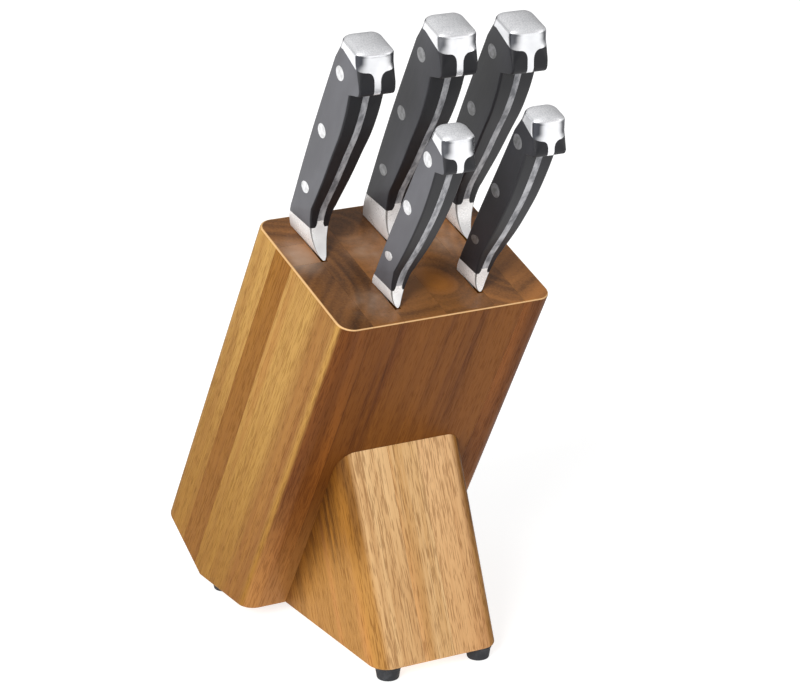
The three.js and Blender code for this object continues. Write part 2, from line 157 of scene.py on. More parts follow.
def curve_through(points, count):
    """Points along a smooth curve through the given ones, evenly spread by chord."""
    pts = np.array(points, float)
    steps = np.linalg.norm(np.diff(pts, axis=0), axis=1) ** 0.5
    knots = np.concatenate([[0], np.cumsum(steps)])
    slopes = np.gradient(pts, knots, axis=0)
    where = np.linspace(0, knots[-1], count)
    out = []
    for w in where:
        i = min(int(np.searchsorted(knots, w, "right")) - 1, len(knots) - 2)
        gap = knots[i + 1] - knots[i]
        t = (w - knots[i]) / gap
        a = (1 + 2 * t) * (1 - t) ** 2 * pts[i] + t * (1 - t) ** 2 * gap * slopes[i]
        b = t * t * (3 - 2 * t) * pts[i + 1] + t * t * (t - 1) * gap * slopes[i + 1]
        out.append(a + b)
    return np.array(out)


def new_object(name, points, faces):
    mesh = bpy.data.meshes.new(name)
    mesh.from_pydata([tuple(float(c) * MM for c in p) for p in points], [], [tuple(f) for f in faces])
    mesh.validate()
    return place_mesh(name, mesh)


def place_mesh(name, mesh):
    obj = bpy.data.objects.new(name, mesh)
    bpy.context.scene.collection.objects.link(obj)
    return obj


def loft(rings):
    """Closed skin over a row of rings of equal length, with flat ends."""
    count = len(rings[0])
    points = [p for ring in rings for p in ring]
    faces = []
    for i in range(len(rings) - 1):
        a, b = i * count, (i + 1) * count
        for j in range(count):
            k = (j + 1) % count
            faces.append((a + j, a + k, b + k, b + j))
    faces.append(tuple(reversed(range(count))))
    faces.append(tuple(range(len(points) - count, len(points))))
    return points, faces


def fix_normals(obj):
    bm = bmesh.new()
    bm.from_mesh(obj.data)
    bmesh.ops.recalc_face_normals(bm, faces=bm.faces)
    bm.to_mesh(obj.data)
    bm.free()
    return obj


def prism(outline, low, high, axis="x"):
    """An outline given thickness along an axis. Outline pairs are the two other axes, in order."""
    def place(pair, along):
        first, second = pair
        return {"x": (along, first, second), "y": (first, along, second), "z": (first, second, along)}[axis]
    points, faces = loft([[place(p, low) for p in outline], [place(p, high) for p in outline]])
    return fix_normals(new_object("cutter", points, faces))


def box(x0, x1, y0, y1, z0, z1):
    return prism([(x0, y0), (x1, y0), (x1, y1), (x0, y1)], z0, z1, "z")


def turn(obj, angle, shift=(0, 0, 0)):
    """Turns a cutter about X, in degrees, then moves it, both in its mesh."""
    move = Matrix.Translation(Vector(shift) * MM) @ Matrix.Rotation(radians(angle), 4, "X")
    obj.data.transform(move)
    return obj


def with_modifier(obj, kind, **settings):
    """Leaves one modifier's result in an object's mesh."""
    modifier = obj.modifiers.new("made", kind)
    for key, value in settings.items():
        setattr(modifier, key, value)
    bpy.context.view_layer.update()
    made = bpy.data.meshes.new_from_object(obj.evaluated_get(bpy.context.evaluated_depsgraph_get()))
    obj.modifiers.remove(modifier)
    obj.data = made
    return obj


def combine(obj, cutter, operation, keep_cutter=False):
    """Boolean of two objects whose meshes are in the same frame, left in the first one's mesh."""
    with_modifier(obj, "BOOLEAN", operation=operation, solver="EXACT", object=cutter)
    if not keep_cutter:
        bpy.data.objects.remove(cutter)
    return obj


def copy_of(obj):
    return place_mesh("copy", obj.data.copy())


def soften(obj, width, angle=40):
    """A small round on every sharp edge left, then smooth shading that keeps flats flat."""
    weld = 2e-6
    bm = bmesh.new()
    bm.from_mesh(obj.data)
    bmesh.ops.remove_doubles(bm, verts=bm.verts, dist=weld)
    bmesh.ops.dissolve_degenerate(bm, edges=bm.edges, dist=weld)
    bm.to_mesh(obj.data)
    bm.free()
    if width:
        with_modifier(obj, "BEVEL", width=width * MM, segments=2, limit_method="ANGLE",
                      angle_limit=radians(angle), harden_normals=False)
    obj.data.shade_smooth()
    obj.data.set_sharp_from_angle(angle=radians(FLAT_ANGLE))
    weighted = obj.modifiers.new("flat_faces", "WEIGHTED_NORMAL")
    weighted.keep_sharp = True
    weighted.weight = 80
    return obj


def finished(obj, name, place, body, slot, nodes, *materials):
    """Names a piece, puts it in place, gives it its finish and lets it stand for its frame nodes."""
    obj.name = name
    obj.data.name = name
    obj.data.transform(place)
    for material in materials:
        obj.data.materials.append(material)
    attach(obj, body)
    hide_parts(*nodes)
    return obj


# ------------------------------------------------------------------ shader maths

class Value:
    """A number socket that adds its own Math nodes when it is used in an expression."""

    def __init__(self, graph, socket):
        self.graph, self.socket = graph, socket

    def maths(self, operation, *others):
        return self.graph.node("ShaderNodeMath", {"operation": operation}, [self, *others]).value(0)

    def __add__(self, other):
        return self.maths("ADD", other)

    def __sub__(self, other):
        return self.maths("SUBTRACT", other)

    def __rsub__(self, other):
        return self.graph.node("ShaderNodeMath", {"operation": "SUBTRACT"}, [other, self]).value(0)

    def __mul__(self, other):
        return self.maths("MULTIPLY", other)

    def __pow__(self, other):
        return self.maths("POWER", other)

    __radd__ = __add__

    def abs(self):
        return self.maths("ABSOLUTE")

    def sin(self):
        return self.maths("SINE")

    def between(self, low, high):
        """0 below low, 1 above high, and smooth in the middle."""
        settings = {"interpolation_type": "SMOOTHSTEP", "clamp": True}
        return self.graph.node("ShaderNodeMapRange", settings, {0: self, 1: low, 2: high}).value(0)


class Made:
    """A node just added, with its output sockets as values or as plain sockets."""

    def __init__(self, graph, node):
        self.graph, self.node = graph, node

    def value(self, key):
        return Value(self.graph, self.node.outputs[key])

    def __getitem__(self, key):
        return self.node.outputs[key]


class Graph:
    """One material's nodes, ending in a Principled shader. Its grain runs up a line that leans forward."""

    def __init__(self, name, lean=0.0, **constants):
        self.material = bpy.data.materials.new(name)
        self.material.use_nodes = True
        self.tree = self.material.node_tree
        self.shader = self.tree.nodes["Principled BSDF"]
        for key, value in constants.items():
            self.shader.inputs[key.replace("_", " ")].default_value = value
        where = self.node("ShaderNodeTexCoord")
        back = (radians(-lean), 0, 0)
        moved = Matrix.Rotation(radians(-lean), 3, "X") @ -ORIGIN
        sockets = {"Vector": where["Object"], "Location": moved, "Rotation": back}
        self.place = self.node("ShaderNodeMapping", {}, sockets)[0]
        sockets = {"Vector": where["Normal"], "Rotation": back}
        self.normal = self.node("ShaderNodeMapping", {"vector_type": "VECTOR"}, sockets)[0]

    def node(self, kind, settings=None, sockets=None):
        node = self.tree.nodes.new(kind)
        for key, value in (settings or {}).items():
            setattr(node, key, value)
        pairs = sockets.items() if isinstance(sockets, dict) else enumerate(sockets or [])
        for key, value in pairs:
            self.feed(node.inputs[key], value)
        return Made(self, node)

    def feed(self, socket, value):
        if isinstance(value, Value):
            self.tree.links.new(value.socket, socket)
        elif isinstance(value, bpy.types.NodeSocket):
            self.tree.links.new(value, socket)
        elif socket.type == "RGBA" and len(value) == 3:
            socket.default_value = (*value, 1)
        else:
            socket.default_value = value

    def set(self, **inputs):
        for key, value in inputs.items():
            self.feed(self.shader.inputs[key.replace("_", " ")], value)

    def noise(self, scale, shift=(0, 0, 0), detail=3, rough=0.5):
        """Noise over the piece, with so many cells to the metre along each axis."""
        sockets = {"Vector": self.place, "Location": shift, "Scale": scale}
        moved = self.node("ShaderNodeMapping", {}, sockets)[0]
        sockets = {"Vector": moved, "Scale": 1.0, "Detail": detail, "Roughness": rough}
        return self.node("ShaderNodeTexNoise", {}, sockets).value(0)

    def noise_along(self, length):
        """Noise along one length, with one cell to each unit."""
        sockets = {"W": length, "Scale": 1.0, "Detail": 2, "Roughness": 0.5}
        return self.node("ShaderNodeTexNoise", {"noise_dimensions": "1D"}, sockets).value(0)

    def in_millimetres(self):
        sockets = {0: self.place, 1: (1 / MM,) * 3}
        return self.split(self.node("ShaderNodeVectorMath", {"operation": "MULTIPLY"}, sockets)[0])

    def mix(self, factor, low, high, blend="MIX"):
        settings = {"data_type": "RGBA", "blend_type": blend, "clamp_factor": True}
        return self.node("ShaderNodeMix", settings, {0: factor, 6: low, 7: high})[2]

    def split(self, vector):
        made = self.node("ShaderNodeSeparateXYZ", {}, [vector])
        return made.value(0), made.value(1), made.value(2)

    def bump(self, height, distance, strength):
        sockets = {"Height": height, "Distance": distance * MM, "Strength": strength}
        self.set(Normal=self.node("ShaderNodeBump", {}, sockets)[0])


# ------------------------------------------------------------------ materials

def rgb(r, g, b):
    """A colour as seen on screen, 0 to 255, in the linear form that shaders use."""
    def linear(c):
        c /= 255
        return c / 12.92 if c <= 0.04045 else ((c + 0.055) / 1.055) ** 2.4
    return (linear(r), linear(g), linear(b))


def grey(tone, cool=0):
    """A grey of one tone, with a little more blue where it is cool."""
    return rgb(tone, tone, tone + cool)


def even(cells):
    return (cells,) * 3


# DUSK tints the painted shade that darkens the staves towards their lower end.
DUSK = (0.50, 0.44, 0.36)
CONTACT_SHADE = (0.42, 0.34, 0.26)
PORE_SHADE = (0.52, 0.45, 0.38)
# The painted highlight on the rounded top rims, partly paler worn wood.
RIM_HIGHLIGHT_AND_WEAR_COLOUR = rgb(226, 184, 132)
# The colour of the bolsters' painted reflection on the oiled top.
BOLSTER_REFLECTION_COLOUR = rgb(192, 164, 140)


class Stave(Graph):
    """A stave's own fields: where a point lies in millimetres, its growth rings, fibre and streaks."""

    def __init__(self, name, seed, heart, lean=LEAN):
        super().__init__(name, lean, IOR=1.45, Specular_IOR_Level=0.13)
        self.lean = lean
        self.shift = (seed * 0.37, seed * 0.21, seed * 0.13)
        self.x, self.y, self.z = self.in_millimetres()
        self.sway = self.noise((14, 14, 5), self.shift, 2)
        sway_back = self.noise((11, 11, 4), (self.shift[1], self.shift[0], self.shift[2]), 2)
        across = self.x - heart[0] + (self.sway - 0.5) * 16 + self.z * 0.02
        back = self.y - heart[1] + (sway_back - 0.5) * 16
        self.radius = (across * across + back * back) ** 0.5
        self.rings = self.noise_along(self.radius * 0.11)
        self.fibre = self.noise((1100, 1100, 26), self.shift, 3, 0.65)
        self.streak = self.noise((200, 200, 3), self.shift, 3, 0.55)
        self.cloud = self.noise((34, 34, 4), self.shift, 3, 0.55)

    def tone(self, figure):
        """0 in the pale wood and 1 in the deep, more even where the figure is plain."""
        tone = 0.46 + (self.rings - 0.5) * (0.7 * figure) + (self.cloud - 0.5) * (0.9 * figure)
        return tone + (self.streak - 0.5) * (0.7 * figure) + (self.fibre - 0.5) * 0.55

    def pores(self, amount):
        pore = self.noise((1900, 1900, 120), self.shift, 2)
        gathered = self.noise((120, 120, 12), self.shift, 2)
        return (pore + (gathered - 0.5) * 0.30).between(0.49, 0.62) * amount

    def blush(self, colour, deep):
        """Redder patches, each some centimetres long."""
        patch = self.noise((50, 50, 4), self.shift, 2).between(0.52, 0.75) * 0.3
        return self.mix(patch, colour, tuple(c * k for c, k in zip(deep, (1.35, 0.95, 0.8))))

    def turned_face(self, colour, tone, turned, sideways, forwards):
        """Painted shade, partly the other cut of the grain: deeper colours on the faces turned one way, and
        their paler lower end.
        """
        facing, reach, pale, deep, low, low_to = turned
        other = self.mix((tone + (self.streak - 0.5) * 0.9).between(0.05, 0.95), pale, deep)
        low_down = 1 - (self.z + (self.sway - 0.5) * 30).between(0, low_to)
        other = self.mix(low_down * (1.0 - tone * 0.35), other, low)
        way = {"side": sideways, "front": forwards}[facing]
        return self.mix(way.between(*reach), colour, other)

    def dark_band(self, colour, band, forwards):
        """A streaky dark band that runs the length of a side face."""
        low, high, stain = band
        middle, soft = (low + high) / 2, (high - low) / 2
        near = 1 - (self.y - middle + (self.sway - 0.5) * 8).abs().between(soft * 0.3, soft)
        on_side = 1 - forwards.between(0.3, 0.7)
        return self.mix(near * (0.25 + self.streak * 0.7) * on_side, colour, stain)

    def contact_shade(self, colour, sideways):
        """The dark corner where the foot's sides meet the block."""
        tipped = radians(LEAN - self.lean)
        before = (self.y * cos(tipped) + self.z * sin(tipped)) * -1.0
        shaded = (1 - before.between(-4, 20)) * sideways.between(0.5, 0.9)
        return self.mix(shaded, colour, CONTACT_SHADE, "MULTIPLY")

    def end_face(self, end, eye):
        """The end grain: rings round the heart, spots, and a painted reflection of the bolsters' light on it.
        """
        curls = (self.radius * 1.1 + self.rings * 7 + self.cloud * 6).sin() * 0.5 + 0.5
        spots = self.noise((900, 900, 300), self.shift, 3, 0.6)
        tone = 0.45 + (curls - 0.5) * 0.12 + (self.rings - 0.5) * 0.8
        tone = tone + (self.sway - 0.5) * 1.2 + (spots - 0.5) * 0.6
        colour = self.mix(tone.between(0.0, 1.0), *end)
        if eye:
            colour = self.mix((1 - self.radius.between(3, 13)) * 0.75, colour, eye)
        return self.mix(self.painted_bolster_reflection(), colour, BOLSTER_REFLECTION_COLOUR)

    def painted_bolster_reflection(self):
        """Painted reflection: where all bolsters but the paring knife's throw their light on the block's
        oiled top.
        """
        reflection = 0.0
        for one in KNIVES[:-1]:
            aside, behind, reach = (11, 8, 17) if one["tilt"] else (12, 6, 19)
            off_x = self.x - (one["x"] - aside)
            off_y = self.y - (one["at"][0] + one["size"]["guard"] + behind)
            away = (off_x * off_x + off_y * off_y) ** 0.5
            reflection = (1 - away.between(0, reach)) + reflection
        patchy = self.noise(even(40), detail=3, rough=0.6).between(0.25, 0.75)
        return reflection * (patchy * 0.75)


def oiled_wood(name, pale, deep, end, seed, heart, pores, figure, lean=LEAN, painted_low_shade=(0.3, DUSK),
               band=None, turned=None, eye=None):
    """Acacia: fibre streaks and open pores along the grain, and rings round a heart on the end grain."""
    g = Stave(name, seed, heart, lean)
    nx, ny, nz = g.split(g.normal)
    sideways, forwards = nx.abs(), ny * -1.0
    tone = g.tone(figure)
    pore_here = g.pores(pores)
    colour = g.mix(tone.between(0.05, 0.95), pale, deep)
    # Painted shade: the wood darker towards its lower end, by the given amount and tint.
    amount, tint = painted_low_shade
    colour = g.mix((130 - g.z).between(-70, 150) * amount, colour, tint, "MULTIPLY")
    if turned:
        colour = g.turned_face(colour, tone, turned, sideways, forwards)
    colour = g.blush(colour, deep)
    if band:
        colour = g.dark_band(colour, band, forwards)
    if lean != LEAN:
        colour = g.contact_shade(colour, sideways)
    colour = g.mix(pore_here, colour, PORE_SHADE, "MULTIPLY")
    end_grain = nz.between(0.88, 0.96)
    colour = g.mix(end_grain, colour, g.end_face(end, eye))
    # Painted highlight along the rounded top rims, partly the paler worn edge.
    rim_highlight_and_wear = nz.between(0.3, 0.6) * (1 - nz.between(0.84, 0.94))
    g.set(Base_Color=g.mix(rim_highlight_and_wear * 0.85, colour, RIM_HIGHLIGHT_AND_WEAR_COLOUR))
    g.set(Roughness=0.48 + g.fibre * 0.16 + pore_here * 0.25 - end_grain * 0.18)
    g.set(Coat_Weight=0.05 + end_grain * 0.45, Coat_Roughness=0.24)
    g.bump(g.fibre * 0.4 + g.streak * 0.25 - pore_here * 0.9, 0.08, 0.45)
    return g.material


def beech():
    g = Graph("beech_dowel", Roughness=0.6)
    fleck = g.noise(even(900))
    g.set(Base_Color=g.mix(fleck.between(0.3, 0.7), rgb(224, 196, 152), rgb(190, 152, 104)))
    g.bump(fleck, 0.05, 0.4)
    return g.material


def moulded_rubber():
    g = Graph("moulded_rubber", Specular_IOR_Level=0.35)
    speck = g.noise(even(1400), rough=0.6)
    dust = g.noise(even(180)).between(0.45, 0.75)
    g.set(Base_Color=g.mix(dust * 0.5, rgb(38, 39, 42), rgb(74, 75, 78)))
    g.set(Roughness=0.62 + speck * 0.2)
    g.bump(speck, 0.05, 0.5)
    return g.material


def satin_black(name, sheen):
    """Hard black handle plastic, its flanks painted lighter as sheen, with a faint flow pattern and fine
    marks.
    """
    g = Graph(name, LEAN, IOR=1.5, Specular_IOR_Level=0.36)
    fine = g.noise((2600, 2600, 900), rough=0.6)
    marks = g.noise((900, 900, 60), detail=2, rough=0.6)
    cloud = g.noise((45, 45, 25), rough=0.55)
    flow = cloud.between(0.3, 0.75)
    # Painted sheen: the flanks lighter than the belly for the light they catch.
    flank = g.split(g.normal)[0].abs().between(0.75, 0.95)
    lit_sheen = g.mix(flow, grey(sheen - 7, 4), grey(sheen + 7, 5))
    g.set(Base_Color=g.mix(flank, g.mix(flow, grey(18, 4), grey(30, 4)), lit_sheen))
    g.set(Roughness=0.34 + cloud * 0.10 + marks * 0.10)
    g.bump(fine * 0.6 + marks * 0.4, 0.02, 0.35)
    return g.material


def corner_shade(g, low, high):
    """1 on the rounded corners that run up a handle, 0 on its flat faces."""
    nx, ny, nz = g.split(g.normal)
    return (nx * ny).abs().between(low, high) * (1 - nz.between(0.45, 0.75))


def polished_steel():
    """Bright-polished butt cap: dark where a corner turns away, satin on the crown."""
    g = Graph("polished_steel", LEAN, Metallic=0.55)
    crown = g.split(g.normal)[2].between(0.55, 0.80)
    buff = g.noise((500, 2400, 2400), detail=2, rough=0.6)
    grain = g.noise(even(1500), rough=0.7)
    smudge = g.noise(even(70), rough=0.6)
    bright = g.mix(smudge.between(0.35, 0.7), grey(246, 2), rgb(228, 229, 232))
    shaded = g.mix(corner_shade(g, 0.10, 0.36) * (0.75 + smudge * 0.4), bright, rgb(58, 60, 66))
    satin = g.mix(grain.between(0.3, 0.7), grey(250, 2), rgb(220, 221, 224))
    g.set(Base_Color=g.mix(crown, shaded, satin))
    g.set(Roughness=0.17 + smudge.between(0.4, 0.8) * 0.07 + buff * 0.06 + crown * 0.22)
    g.bump(buff * 0.5 + grain * crown * 1.2, 0.012, 0.3)
    return g.material


def bright_bolster():
    """Satin-bright bolster, its sharp corner between the side and the finger guard painted dark as shade."""
    g = Graph("bright_bolster", LEAN, Metallic=0.18)
    nx, ny, _ = g.split(g.normal)
    lines = g.noise((900, 900, 2600), detail=2, rough=0.6)
    smudge = g.noise(even(90), rough=0.6)
    bright = g.mix(smudge.between(0.3, 0.75), rgb(252, 251, 250), rgb(230, 229, 229))
    # Painted shade on the sharp corner between the side and the finger guard.
    corner = (nx * ny).abs().between(0.12, 0.40)
    g.set(Base_Color=g.mix(corner * 0.85, bright, rgb(70, 66, 64)))
    g.set(Roughness=0.20 + smudge * 0.10 + lines * 0.06)
    g.bump(lines, 0.008, 0.25)
    return g.material


def brushed_tang():
    """The tang's edge between the scales, dull from belt grinding."""
    g = Graph("brushed_tang", LEAN, Metallic=0.2, Specular_IOR_Level=0.3)
    lines = g.noise((2500, 900, 90), rough=0.7)
    wear_and_sheen = g.noise((260, 260, 120), rough=0.65)
    g.set(Base_Color=g.mix(wear_and_sheen.between(0.3, 0.7), grey(178, 3), rgb(106, 107, 111)))
    g.set(Roughness=0.42 + lines * 0.20)
    g.bump(lines, 0.03, 0.5)
    return g.material


def satin_blade():
    """Blade steel ground across, a little uneven in tone."""
    g = Graph("satin_blade", LEAN, Metallic=1.0)
    lines = g.noise((800, 60, 2600), rough=0.7)
    cloud = g.noise((60, 60, 30), detail=2)
    g.set(Base_Color=g.mix(cloud.between(0.3, 0.7), rgb(214, 216, 219), rgb(190, 192, 196)))
    g.set(Roughness=0.20 + lines * 0.16)
    g.bump(lines, 0.02, 0.4)
    return g.material


def ground_rivet(name, bright):
    """Rivet head ground flush with its scale; bright is its tone, 0 to 255, set per knife as painted light.
    """
    g = Graph(name, LEAN, Metallic=0.55)
    lines = g.noise((400, 2600, 500), rough=0.7)
    wear_and_sheen = g.noise(even(500), detail=2)
    g.set(Base_Color=g.mix(wear_and_sheen.between(0.3, 0.7), grey(bright, 2), grey(bright - 30)))
    g.set(Roughness=0.24 + lines * 0.16)
    g.bump(lines, 0.02, 0.4)
    return g.material


def zinc_screw():
    g = Graph("zinc_screw", Metallic=1.0)
    spangle = g.noise(even(700))
    g.set(Base_Color=g.mix(spangle.between(0.3, 0.7), rgb(170, 174, 180), rgb(132, 137, 145)))
    g.set(Roughness=0.30 + spangle * 0.25)
    g.bump(spangle, 0.02, 0.3)
    return g.material


# ------------------------------------------------------------------ block

def edges_where(bm, test):
    return [e for e in bm.edges if test(*(v.co / MM for v in e.verts))]


def round_edges(bm, edges, radius, segments):
    bmesh.ops.bevel(bm, geom=list(edges), offset=radius * MM, segments=segments, profile=0.5,
                    affect="EDGES", clamp_overlap=True)


def block_blank():
    """The whole block as one body, its long edges rounded and its rims eased."""
    level = HEEL_DROP / tan(radians(LEAN))
    side = [(0, 0), (level, -HEEL_DROP), (BLOCK_D, -HEEL_DROP), (BLOCK_D, top_at(BLOCK_D)), (0, FRONT_H)]
    blank = prism(side, -BLOCK_W / 2, BLOCK_W / 2)
    bm = bmesh.new()
    bm.from_mesh(blank.data)

    def long_edge(a, b):
        same_place = abs(a.x - b.x) < 0.01 and abs(a.y - b.y) < 0.01
        return same_place and (a.y < 0.01 or a.y > BLOCK_D - 0.01)

    round_edges(bm, edges_where(bm, long_edge), BLOCK_EDGE_R, 14)
    ends = [f for f in bm.faces if abs(f.normal.z) > 0.4]
    rims = {e for f in ends for e in f.edges if len(e.link_faces) == 2
            and any(other not in ends for other in e.link_faces)}
    round_edges(bm, rims, RIM_R, 4)
    bm.to_mesh(blank.data)
    bm.free()
    return blank


def slot_cutter(knife):
    """What is cut away for one blade: a little wider and deeper than the blade, open at the top."""
    size = knife["size"]
    back = size["blade_spine"] + SLOT_END_ROOM
    front = size["guard"] - SLOT_END_ROOM
    floor = seat_at(knife, 0) - knife["blade"] - SLOT_FLOOR
    half = SLOT_T / 2
    depth, up = knife["at"]
    cutter = box(-half, half, front, back, floor, ABOVE_TOP)
    return turn(cutter, knife["tilt"], (knife["x"], depth, FRONT_H + up))


def make_block(woods):
    blank = block_blank()
    for knife in KNIVES:
        combine(blank, slot_cutter(knife), "DIFFERENCE")
    inner = BLOCK_W / 2 - PANEL_T
    outer = FRONT_ROW_X + SLOT_T / 2
    cuts = {}
    seams = [-inner, -outer, -SLOT_T / 2, outer, inner]
    for name, x0, x1 in zip(("core_left", "core_mid_left", "core_mid_right", "core_right"), seams, seams[1:]):
        cuts[name] = (x0, x1, -WIDE, WIDE)
    depths = (-WIDE, *STAVE_SEAMS, WIDE)
    for name, y0, y1 in zip(("front", "middle", "back"), depths, depths[1:]):
        cuts[f"left_stave_{name}"] = (-WIDE, -inner, y0, y1)
        cuts[f"right_stave_{name}"] = (inner, WIDE, y0, y1)
    for name, (x0, x1, y0, y1) in cuts.items():
        half = SEAM / 2
        saw = box(x0 + half, x1 - half, y0 + half, y1 - half, -WIDE, WIDE)
        stave = combine(copy_of(blank), saw, "INTERSECT")
        soften(stave, EASE_R)
        slot = "wood_core" if "core" in name else "wood_dark" if "middle" in name else "wood_light"
        finished(stave, f"wood_{name}", LEANING, "block", slot, [name], woods[name])
    bpy.data.objects.remove(blank)


def make_foot(woods):
    tip_y = -FOOT_RISE * sin(radians(LEAN))
    tip_z = FOOT_RISE * cos(radians(LEAN))
    outline = [(-SEAT_GAP, 0), (tip_y - SEAT_GAP, tip_z), (-FOOT_REACH, 0)]
    blank = prism(outline, -FOOT_W / 2, FOOT_W / 2)
    bm = bmesh.new()
    bm.from_mesh(blank.data)

    def front_edge(a, b):
        low, high = sorted((a, b), key=lambda p: p.z)
        return abs(a.x - b.x) < 0.01 and low.y < -FOOT_REACH + 1 and high.z > tip_z - 1

    round_edges(bm, edges_where(bm, front_edge), FOOT_EDGE_R, 14)
    soles = [f for f in bm.faces if f.normal.z < -0.9]
    rims = {e for f in soles for e in f.edges if any(v.co.y < -5 * MM for v in e.verts)}
    round_edges(bm, rims, RIM_R, 4)
    bm.to_mesh(blank.data)
    bm.free()
    core = FOOT_CORE_W / 2
    for name, x0, x1 in (("left", -WIDE, -core), ("middle", -core, core), ("right", core, WIDE)):
        saw = box(x0 + SEAM / 2, x1 - SEAM / 2, -WIDE, WIDE, -WIDE, WIDE)
        stave = combine(copy_of(blank), saw, "INTERSECT")
        soften(stave, EASE_R)
        node = f"foot_stave_{name}"
        finished(stave, f"wood_{node}", UPRIGHT, "block", "wood_foot", [node], woods[node])
    bpy.data.objects.remove(blank)


def spun(profile, steps=48):
    """A closed body of revolution about Z from (radius, height) points that start and end on the axis."""
    rings = []
    for r, h in profile[1:-1]:
        rings.append([(r * cos(2 * pi * i / steps), r * sin(2 * pi * i / steps), h) for i in range(steps)])
    points, faces = loft(rings)
    return fix_normals(new_object("spun", points, faces))


def pad_profile():
    quarter = np.linspace(0, pi / 2, 6)
    soft = [(PAD_LOW_R - PAD_ROUND * (1 - sin(a)), PAD_ROUND * (1 - cos(a))) for a in quarter]
    well = [(0, WELL_DEPTH), (WELL_R, WELL_DEPTH), (WELL_R, 0.25), (WELL_R + 0.25, 0)]
    flange = [(PAD_R - 0.4, PAD_H - 1.2), (PAD_R, PAD_H - 0.8), (PAD_R, PAD_H - 0.02), (0, PAD_H)]
    return well + soft + flange


def screw_profile(base):
    head = [(0, 0), (1.4, 0.02), (2.3, 0.35), (2.8, 1.0), (2.8, 2.0)]
    shank = [(1.4, 2.0), (1.4, 12.0), (0.4, 13.0), (0, 13.2)]
    return [(r, base + h) for r, h in head + shank]


def make_pads(rubber, zinc):
    """The four rubber feet, each with a cross-head screw up its well."""
    arm, thickness = 1.7, 0.35
    for spot in ("front_left", "front_right", "back_left", "back_right"):
        low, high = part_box(f"rubber_foot_{spot}")
        place = Matrix.Translation(((low[0] + high[0]) / 2, (low[1] + high[1]) / 2, 0))
        pad = soften(spun(pad_profile()), 0)
        finished(pad, f"pad_{spot}", place, "block", "rubber", [f"rubber_foot_{spot}"], rubber)
        node = f"foot_screw_{spot}"
        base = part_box(node)[0][2] / MM
        screw = spun(screw_profile(base), 32)
        for across, along in ((thickness, arm), (arm, thickness)):
            combine(screw, box(-across, across, -along, along, base - 1, base + 1.1), "DIFFERENCE")
        soften(screw, EASE_R)
        finished(screw, f"screw_{spot}", place, "block", "screw", [node], zinc)


# ------------------------------------------------------------------ knives

def section(spine, belly, half_spine, half_belly, round_spine, round_belly, bow=0.0):
    """One ring round the handle between a spine and a belly point, each (back, up).

    bow is how far the belly side is one soft curve, from 0 to 1.
    """
    spine, belly = np.array(spine, float), np.array(belly, float)
    run = belly - spine
    length = np.linalg.norm(run)
    run = run / length
    rs = min(round_spine, half_spine * 0.95, length * 0.4)
    rb = min(round_belly, half_belly * 0.95, length * 0.4)
    wide = rb + (half_belly * 0.85 - rb) * bow
    right = [(half_spine * 0.33, 0)]
    for a in np.linspace(0, pi / 2, 7):
        right.append((half_spine - rs + rs * sin(a), rs - rs * cos(a)))
    for t in np.linspace(0, 1, 9)[1:-1]:
        along = rs + (length - rs - rb) * t
        right.append((half_spine + (half_belly - half_spine) * t, along))
    for a in np.linspace(0, pi / 2, 8):
        right.append((half_belly - wide + wide * cos(a), length - rb + rb * sin(a)))
    right.append(((half_belly - wide) * 0.5, length))
    flat = [(0, 0), *right, (0, length), *[(-x, e) for x, e in reversed(right)]]
    return np.array([(x, *(spine + run * e)) for x, e in flat])


def handle_half(knife, up):
    """Half the handle's width at a height."""
    size = knife["size"]
    levels, halves = zip(*size["half"])
    return np.interp(up, (size["spine"][0][1], *levels), (size["scale_half"], *halves))


def handle_rings(knife):
    """Rings up the whole handle: the bolster's flared neck, the grip, the beak and the cap's crown."""
    size = knife["size"]
    guard, blade_spine = size["guard"], size["blade_spine"]
    gap = CAD_SEAM / cos(radians(TOP_FALL))
    low_spine = np.array((blade_spine, seat_at(knife, blade_spine) + gap))
    low_belly = np.array((guard, seat_at(knife, guard) + gap))
    spine_start = np.array(size["spine"][0])
    neck = np.array(size["belly"][0])
    rings = []
    bend = np.array((neck[0] + 0.6, low_belly[1] + 5.0))
    for i in range(NECK_RINGS):
        t = i / NECK_RINGS
        belly = (1 - t) ** 2 * low_belly + 2 * t * (1 - t) * bend + t * t * neck
        spine = low_spine + (spine_start - low_spine) * t
        grow = 1 - (1 - t) ** 1.7
        hs = size["low_half"][0] + (size["scale_half"] - size["low_half"][0]) * grow
        hb = size["low_half"][1] + (size["scale_half"] - size["low_half"][1]) * t ** 0.6
        rings.append(section(spine, belly, hs, hb, 0.5 + 0.9 * t, 0.35 + 1.1 * t))
    spines = curve_through(size["spine"] + [(size["spine"][-1][0], size["cap_back"])], 60)
    bellies = curve_through(size["belly"], 34)
    beak = curve_through([size["belly"][-1], *size["beak"]], 14)[1:]
    front = np.linspace(size["beak"][-1], size["lip"], 12)[1:]
    bellies = np.vstack([bellies, beak, front])
    fractions = (bellies[:, 1] - bellies[0, 1]) / (bellies[-1, 1] - bellies[0, 1])
    spine_z = spine_start[1] + fractions * (size["cap_back"] - spine_start[1])
    for belly, z in zip(bellies, spine_z):
        back = np.interp(z, spines[:, 1], spines[:, 0])
        level = (z + belly[1]) / 2
        half = handle_half(knife, level)
        cap = np.clip((level - size["scale_top"][2][1] + 7) / 7, 0, 1)
        rings.append(section((back, z), belly, half, half, 1.4 + 2.4 * cap, 1.1 + 2.6 * cap, cap))
    return rings + crown_rings(rings[-1])


